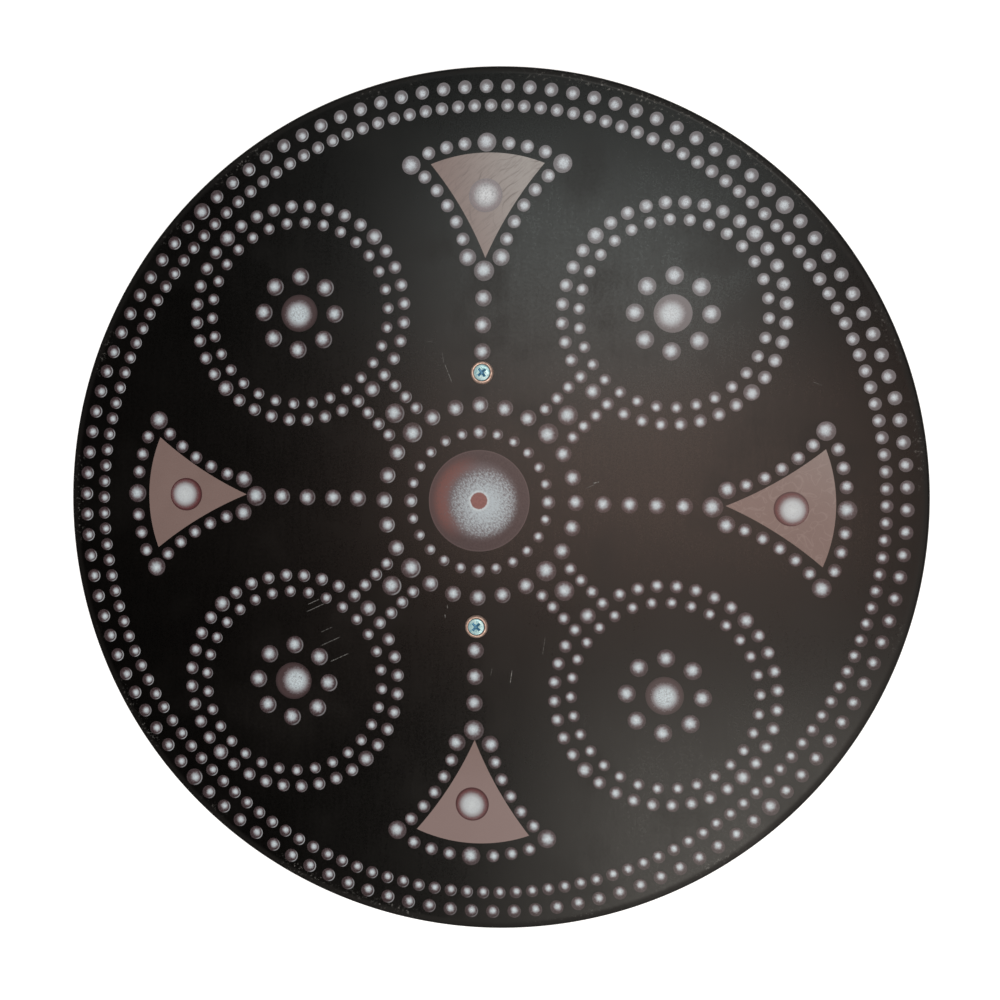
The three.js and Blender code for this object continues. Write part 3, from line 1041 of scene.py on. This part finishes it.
def middle_ink():
    """Bands by distance in millimetres from the disc's middle and from the glow's middle."""
    finish, tree, shader, where = ink_finish("middle_boss_ink")
    disc = attribute(tree, "disc")
    radius = product(tree, vectors(tree, "LENGTH", disc), MIDDLE_BOSS)
    flat_glow = vectors(tree, "MULTIPLY", attribute(tree, "glow"), (1.0, 1.0, 0.0))
    from_glow = product(tree, vectors(tree, "LENGTH", flat_glow), MIDDLE_BOSS)

    streaky = stretched(tree, where, (1.0, 0.55, 1.0), -45)
    grains = noise(tree, streaky, 0.75 * MM, 4, 0.75)
    threshold = colour_steps(tree, maths(tree, "DIVIDE", from_glow, MIDDLE_BOSS), [
        (0.20, grey(0.35)),
        (0.33, grey(0.42)),
        (0.42, grey(0.465)),
        (0.56, grey(0.535)),
        (0.63, grey(0.58)),
        (0.77, grey(0.76)),
    ])
    low = maths(tree, "SUBTRACT", threshold, 0.20)
    high = total(tree, threshold, 0.20)
    white_share = steps(tree, grains, low, high)
    field = blend_colours(tree, white_share, srgb(96, 87, 91), srgb(172, 184, 191))

    in_ring = steps(tree, radius, 15.8, 21.5)
    ring_base = blend_colours(tree, steps(tree, grains, 0.3, 0.7), srgb(60, 46, 49), srgb(75, 61, 63))
    ring = blend_colours(tree, steps(tree, radius, 24.6, 25.2), ring_base, srgb(82, 68, 70))
    colour = blend_colours(tree, in_ring, field, ring)
    leftward = vectors(tree, "DOT_PRODUCT", vectors(tree, "NORMALIZE", disc), (-0.98, 0.2, 0.0))
    on_left = steps(tree, leftward, 0.1, 0.95)
    outer_fade = steps(tree, radius, 20.0, 24.5, 1.0, 0.15)
    band = product(tree, steps(tree, radius, 13.5, 18.0), outer_fade)
    red = product(tree, on_left, band, 0.85, steps(tree, grains, 0.75, 0.45))
    colour = blend_colours(tree, red, colour, srgb(116, 70, 65))

    dot_edge = total(tree, radius, product(tree, maths(tree, "SUBTRACT", grains, 0.5), 0.8))
    pale_line = steps(tree, dot_edge, DOT_RADIUS + 1.6, DOT_RADIUS + 0.3, 0.0, 0.45)
    colour = blend_colours(tree, pale_line, colour, srgb(205, 214, 217))
    in_dot = steps(tree, dot_edge, DOT_RADIUS + 0.3, DOT_RADIUS - 0.3)
    dot = blend_colours(tree, steps(tree, grains, 0.3, 0.7), srgb(122, 78, 75), srgb(138, 92, 88))
    colour = blend_colours(tree, in_dot, colour, dot)
    tree.links.new(colour, shader.inputs["Base Color"])
    return finish


middle_boss.data.materials.append(middle_ink())

# %% [markdown]
# ## The grip
#
# The grip is a bridge sawn from one piece of hardwood. Its solid already has the right shape,
# with the pilot holes for the screws, so the visible piece is a merged copy of it: welding its
# loose triangles lets the rounded edges shade smoothly.
#
# The wood finish uses a noise that is stretched along the grip for the grain, with fine dark
# pores, under a thin oil sheen.

# %% The grip
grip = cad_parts["grip"].copy()
grip.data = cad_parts["grip"].data.copy()
grip.name = "wooden_grip"
for key in list(grip.keys()):
    del grip[key]
bpy.context.collection.objects.link(grip)
welded = bmesh.new()
welded.from_mesh(grip.data)
bmesh.ops.remove_doubles(welded, verts=welded.verts, dist=0.005 * MM)
bmesh.ops.dissolve_limit(welded, angle_limit=np.radians(1), verts=welded.verts, edges=welded.edges)
welded.to_mesh(grip.data)
welded.free()
shade_rounds(grip, 35)
finish_piece(grip, "grip")


def oiled_wood():
    """Growth bands and pores along the grip, with an uneven oil sheen."""
    finish, tree, shader = new_finish("oiled_hardwood", 0.5, specular=0.4)
    where = place(tree)
    bent = noise(tree, stretched(tree, where, (1.0, 0.25, 1.0)), 28 * MM, 2)
    bands_place = stretched(tree, where, (1.0, 0.06, 1.0))
    bands = noise(tree, bands_place, 3.2 * MM, 4, 0.6, 0.8)
    pores = noise(tree, stretched(tree, where, (1.0, 0.035, 1.0)), 0.55 * MM, 3, 0.7)
    wood = colour_steps(tree, bands, [
        (0.30, srgb(146, 98, 58)),
        (0.46, srgb(178, 128, 82)),
        (0.56, srgb(192, 143, 96)),
        (0.70, srgb(158, 108, 66)),
    ])
    wood = blend_colours(tree, steps(tree, bent, 0.35, 0.7, 0.0, 0.35), wood, srgb(205, 158, 112))
    dark_pores = steps(tree, pores, 0.60, 0.70, 0.0, 0.55)
    wood = blend_colours(tree, dark_pores, wood, srgb(92, 58, 34))
    tree.links.new(wood, shader.inputs["Base Color"])
    tree.links.new(steps(tree, bands, 0.3, 0.7, 0.42, 0.58), shader.inputs["Roughness"])
    relief = maths(tree, "SUBTRACT", product(tree, bands, 0.4), dark_pores)
    bump(tree, shader, relief, 0.06 * MM, 0.8)
    return finish


grip.data.materials.clear()
grip.data.materials.append(oiled_wood())

# %% [markdown]
# ## Screw cups
#
# A screw cup is a pressed ring of thin copper-plated brass, with a rounded outside and a
# cone-shaped seat. It is one closed profile loop turned round the screw's axis.

# %% Screw cups
cup_low, cup_high = (np.array(corner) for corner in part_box("cup_top"))
CUP_RADIUS = (cup_high[0] - cup_low[0]) / 2
CUP_BOTTOM, CUP_TOP = cup_low[2], cup_high[2]
CREST_RADIUS = 4.75 * MM
SEAT_TOP_RADIUS = 4.3 * MM
SEAT_LOW_RADIUS = 2.8 * MM
CUP_SIDES = 72


def cup_profile():
    """Seat foot, outer foot, a quarter round up to the crest, then a small round into the seat."""
    skirt = 0.2 * MM
    rise = CUP_TOP - CUP_BOTTOM - skirt
    outside = arc((CREST_RADIUS, CUP_BOTTOM + skirt), (CUP_RADIUS - CREST_RADIUS, rise), 0, 90, 10)
    lip_drop = 0.2 * MM
    inside = arc((CREST_RADIUS, CUP_TOP - lip_drop), (CREST_RADIUS - SEAT_TOP_RADIUS, lip_drop), 105, 180, 5)
    foot = [[SEAT_LOW_RADIUS, CUP_BOTTOM], [CUP_RADIUS, CUP_BOTTOM]]
    return np.vstack([foot, outside, inside])


def copper_plate():
    """Polished copper with cloudy dulling and fine turned lines."""
    finish, tree, shader = new_finish("copper_plate", 0.36, metallic=0.65)
    where = place(tree)
    dull = noise(tree, where, 1.3 * MM, 4, 0.65)
    colour = blend_colours(tree, steps(tree, dull, 0.4, 0.7), srgb(238, 208, 192), srgb(194, 160, 146))
    tree.links.new(colour, shader.inputs["Base Color"])
    tree.links.new(steps(tree, dull, 0.35, 0.7, 0.28, 0.46), shader.inputs["Roughness"])
    bump(tree, shader, noise(tree, where, 0.35 * MM, 2), 0.01 * MM, 0.6)
    return finish


cup_finish = copper_plate()
for end, side in (("top", 1), ("bottom", -1)):
    cup = turned_piece(f"copper_cup_{end}", cup_profile(), CUP_SIDES, 50, closed=True)
    move_mesh(cup, SCREW_X, side * SCREW_Y, 0)
    cup.data.materials.append(cup_finish)
    finish_piece(cup, f"cup_{end}")

# %% [markdown]
# ## Screws
#
# A screw's head is a low dome with a cross recess. On a polar grid the dome's height is simple,
# and the recess is a smooth step down wherever a point lies inside one of the two crossed
# slots, so its walls slope as pressed ones do. Four small ticks between the arms are pressed
# less deep.
#
# The shank is a tube whose radius swells along a spiral, which makes the thread. Head and
# shank are one grid of rings, from the middle of the head down to the tip.

# %% Screws
HEAD_RADIUS = 4.0 * MM
HEAD_EDGE = FACE_Z + 1.6 * MM
HEAD_DOME = 0.45 * MM
HEAD_BAND = 0.15 * MM
RECESS_HALF_SPAN = 2.45 * MM
RECESS_HALF_WIDTH = 0.56 * MM
RECESS_DEPTH = 1.3 * MM
WALL_SLOPE = 0.16 * MM
SHANK_RADIUS = 1.75 * MM
THREAD_HEIGHT = 0.45 * MM
THREAD_PITCH = 1.9 * MM
TIP_LENGTH = 5.0 * MM
SCREW_SIDES = 144
HEAD_RINGS = 44
SHANK_RINGS = 220


def smooth(value):
    """0 below 0, 1 above 1, and 3 v^2 - 2 v^3 between."""
    share = np.clip(value, 0, 1)
    return share * share * (3 - 2 * share)


def slot_mask(along, across, half_length, half_width):
    """1 inside a slot and 0 outside, with sloping walls."""
    ends = smooth((half_length - np.abs(along)) / WALL_SLOPE + 0.5)
    sides = smooth((half_width - np.abs(across)) / WALL_SLOPE + 0.5)
    return ends * sides


def screw_points(recess_turn):
    """Rings of the head's top, its countersunk side and the threaded shank down to the tip."""
    angle = np.arange(SCREW_SIDES)[None] * 2 * np.pi / SCREW_SIDES
    share = np.linspace(0, 1, HEAD_RINGS)[:, None]
    radius = HEAD_RADIUS * share + 0 * angle
    x, y = radius * np.cos(angle), radius * np.sin(angle)
    turn = np.radians(recess_turn)
    along, across = x * np.cos(turn) + y * np.sin(turn), y * np.cos(turn) - x * np.sin(turn)
    cross = np.maximum(
        slot_mask(along, across, RECESS_HALF_SPAN, RECESS_HALF_WIDTH),
        slot_mask(across, along, RECESS_HALF_SPAN, RECESS_HALF_WIDTH),
    )
    up, over = (along + across) / np.sqrt(2), (across - along) / np.sqrt(2)
    ticks = np.maximum(
        slot_mask(up, over, 0.75 * RECESS_HALF_SPAN, 0.12 * MM),
        slot_mask(over, up, 0.75 * RECESS_HALF_SPAN, 0.12 * MM),
    )
    deeper_inside = 0.55 + 0.45 * smooth((RECESS_HALF_SPAN - radius) / (0.9 * RECESS_HALF_SPAN))
    dip = np.maximum(RECESS_DEPTH * cross * deeper_inside, 0.22 * MM * ticks)
    crown = HEAD_EDGE + HEAD_BAND + HEAD_DOME * np.sqrt(np.clip(1 - share**2, 0, 1))
    head = np.stack([x, y, crown + 0 * angle - dip], -1)

    neck_z = HEAD_EDGE - (HEAD_RADIUS - SHANK_RADIUS)
    tip_z = float(screw_low[2])
    down = np.linspace(0, 1, SHANK_RINGS)[:, None]
    height = neck_z + (tip_z - neck_z) * down + 0 * angle
    taper = smooth((height - tip_z) / TIP_LENGTH)
    phase = (height / THREAD_PITCH + angle / (2 * np.pi)) % 1.0
    ridge = np.clip(1 - np.abs(phase - 0.5) / 0.22, 0, 1)
    starts = smooth((neck_z - height) / (4 * MM) - 0.5)
    tube = (SHANK_RADIUS + THREAD_HEIGHT * ridge * starts) * np.sqrt(np.clip(taper, 0, 1))
    shank = np.stack([tube * np.cos(angle), tube * np.sin(angle), height], -1)
    rim = np.stack([HEAD_RADIUS * np.cos(angle), HEAD_RADIUS * np.sin(angle), HEAD_EDGE + 0 * angle], -1)
    return np.concatenate([head, rim, shank]).reshape(-1, 3)


def zinc_plate():
    """Blue-green zinc with stained patches, and painted shade: a darker blue in the cross recess."""
    finish, tree, shader = new_finish("zinc_plate", 0.34, metallic=0.35)
    where = place(tree)
    height = tree.nodes.new("ShaderNodeSeparateXYZ")
    tree.links.new(where, height.inputs[0])
    stain = noise(tree, where, 1.1 * MM, 4, 0.7)
    colour = blend_colours(tree, steps(tree, stain, 0.38, 0.66), srgb(205, 238, 238), srgb(136, 186, 198))
    # Painted shade: the cross recess is coloured a darker blue.
    in_recess = steps(tree, height.outputs["Z"], FACE_Z + 1.95 * MM, FACE_Z + 1.45 * MM)
    colour = blend_colours(tree, in_recess, colour, srgb(76, 134, 170))
    tree.links.new(colour, shader.inputs["Base Color"])
    tree.links.new(steps(tree, stain, 0.35, 0.7, 0.24, 0.44), shader.inputs["Roughness"])
    bump(tree, shader, noise(tree, where, 0.3 * MM, 3), 0.012 * MM, 0.7)
    return finish


screw_finish = zinc_plate()
for end, side, recess_turn in (("top", 1, 40), ("bottom", -1, 47)):
    points = screw_points(recess_turn)
    faces = grid_faces(len(points) // SCREW_SIDES, SCREW_SIDES)
    screw = make_object(f"zinc_screw_{end}", points, faces)
    weld_and_face_outwards(screw)
    shade_rounds(screw, 55)
    move_mesh(screw, SCREW_X, side * SCREW_Y, 0)
    screw.data.materials.append(screw_finish)
    finish_piece(screw, f"screw_{end}")

# %% [markdown]
# ## Floor and light
#
# The shield lies on a plain pale floor, lit like a product on a light table: the floor glows a
# little, so its shadows stay soft.
#
# Black satin paint shows lamps, not daylight. Three soft boxes hang a metre and a half above
# the board, where it mirrors them: one beyond the top, a warm one right of the middle, and one
# beyond the bottom right. The left half mirrors the dark side of the studio and stays black.
#
# The even room light comes from the world, which has three strengths: a bright backdrop for
# the camera, a pale room for matt surfaces, and near darkness in reflections, as in a studio
# with black curtains.

# %% Floor and light
FLOOR_HALF = 12.0
FLOOR_GLOW = 0.48
LAMP_HEIGHT = FACE_Z + 1.5
LOWEST = CAD_BOX[0][2]

floor_points = np.array([[-1, -1], [1, -1], [1, 1], [-1, 1]]) * FLOOR_HALF
floor = make_object("floor", np.column_stack([floor_points, np.full(4, LOWEST - 0.02 * MM)]), [[0, 1, 2, 3]])


def floor_finish():
    """Matt white paper over a light table."""
    finish, tree, shader = new_finish("pale_paper", 0.9, specular=0.1)
    fleck = noise(tree, place(tree), 0.4, 2)
    colour = blend_colours(tree, fleck, srgb(240, 240, 239), srgb(246, 246, 245))
    tree.links.new(colour, shader.inputs["Base Color"])
    shader.inputs["Emission Color"].default_value = (1.0, 1.0, 1.0, 1.0)
    shader.inputs["Emission Strength"].default_value = FLOOR_GLOW
    return finish


floor.data.materials.append(floor_finish())


def soft_lamp(name, middle, width, depth, brightness):
    """A soft box that faces straight down. brightness is red, green and blue light per area."""
    lamp = bpy.data.lights.new(name, "AREA")
    lamp.shape = "RECTANGLE"
    lamp.size, lamp.size_y = width, depth
    strongest = max(brightness)
    lamp.energy = strongest * np.pi * width * depth
    lamp.color = [part / strongest for part in brightness]
    holder = bpy.data.objects.new(name, lamp)
    bpy.context.collection.objects.link(holder)
    holder.matrix_world = Matrix.Translation((middle[0], middle[1], LAMP_HEIGHT))
    return holder


soft_lamp("lamp_top", (0.05, 0.48), 0.61, 0.36, (3.66, 3.95, 3.82))
soft_lamp("lamp_right", (0.18, 0.04), 0.95, 0.46, (2.30, 1.62, 1.36))
soft_lamp("lamp_bottom_right", (0.53, -0.96), 1.06, 1.03, (2.69, 2.53, 2.29))

world = bpy.data.worlds.new("studio")
world.use_nodes = True
bpy.context.scene.world = world
sky = world.node_tree
sky.nodes.clear()


def background(colour, strength):
    """One even background for the world."""
    node = sky.nodes.new("ShaderNodeBackground")
    node.inputs["Color"].default_value = (*colour, 1.0)
    node.inputs["Strength"].default_value = strength
    return node


def either(ray_kind, otherwise, when_true):
    """One background for rays of this kind, and the other for the rest."""
    mix = sky.nodes.new("ShaderNodeMixShader")
    sky.links.new(ray.outputs[ray_kind], mix.inputs[0])
    sky.links.new(otherwise.outputs[0], mix.inputs[1])
    sky.links.new(when_true.outputs[0], mix.inputs[2])
    return mix


ray = sky.nodes.new("ShaderNodeLightPath")
pale_room = background((1.0, 1.0, 1.0), 0.62)
backdrop = background((1.0, 1.0, 1.0), 0.93)
dark_room = background((1.0, 0.95, 0.9), 0.015)
seen = either("Is Camera Ray", pale_room, backdrop)
choice = either("Is Glossy Ray", seen, dark_room)
output = sky.nodes.new("ShaderNodeOutputWorld")
sky.links.new(choice.outputs[0], output.inputs["Surface"])

# %% [markdown]
# ## Camera
#
# The camera looks almost straight down, from a little to the right of the middle, about half a
# metre above the floor. It is tipped by a few degrees, so the far side is slightly smaller.

# %% Camera
CAMERA_AT = (0.0551, 0.0081, 0.511)
CAMERA_TIP = np.radians([0.983, -5.702, -1.39])
FOCAL_LENGTH = 33.17

turn_x = Matrix.Rotation(CAMERA_TIP[0], 4, "X")
turn_y = Matrix.Rotation(CAMERA_TIP[1], 4, "Y")
turn_z = Matrix.Rotation(CAMERA_TIP[2], 4, "Z")
lens = bpy.data.cameras.new("camera")
lens.sensor_width = 36.0
lens.lens = FOCAL_LENGTH
lens.clip_start = 0.01
camera = bpy.data.objects.new("camera", lens)
bpy.context.collection.objects.link(camera)
camera.matrix_world = Matrix.Translation(CAMERA_AT) @ (turn_z @ turn_y @ turn_x).inverted()
bpy.context.scene.camera = camera
bpy.context.scene.view_settings.view_transform = "Standard"
print("camera:", CAMERA_AT, "lens", FOCAL_LENGTH, "mm")

# %% [markdown]
# ## The solids' box
#
# The last cell prints the box that the solids fill.

# %% The solids' box
print("solid box:", [list(corner) for corner in CAD_BOX])
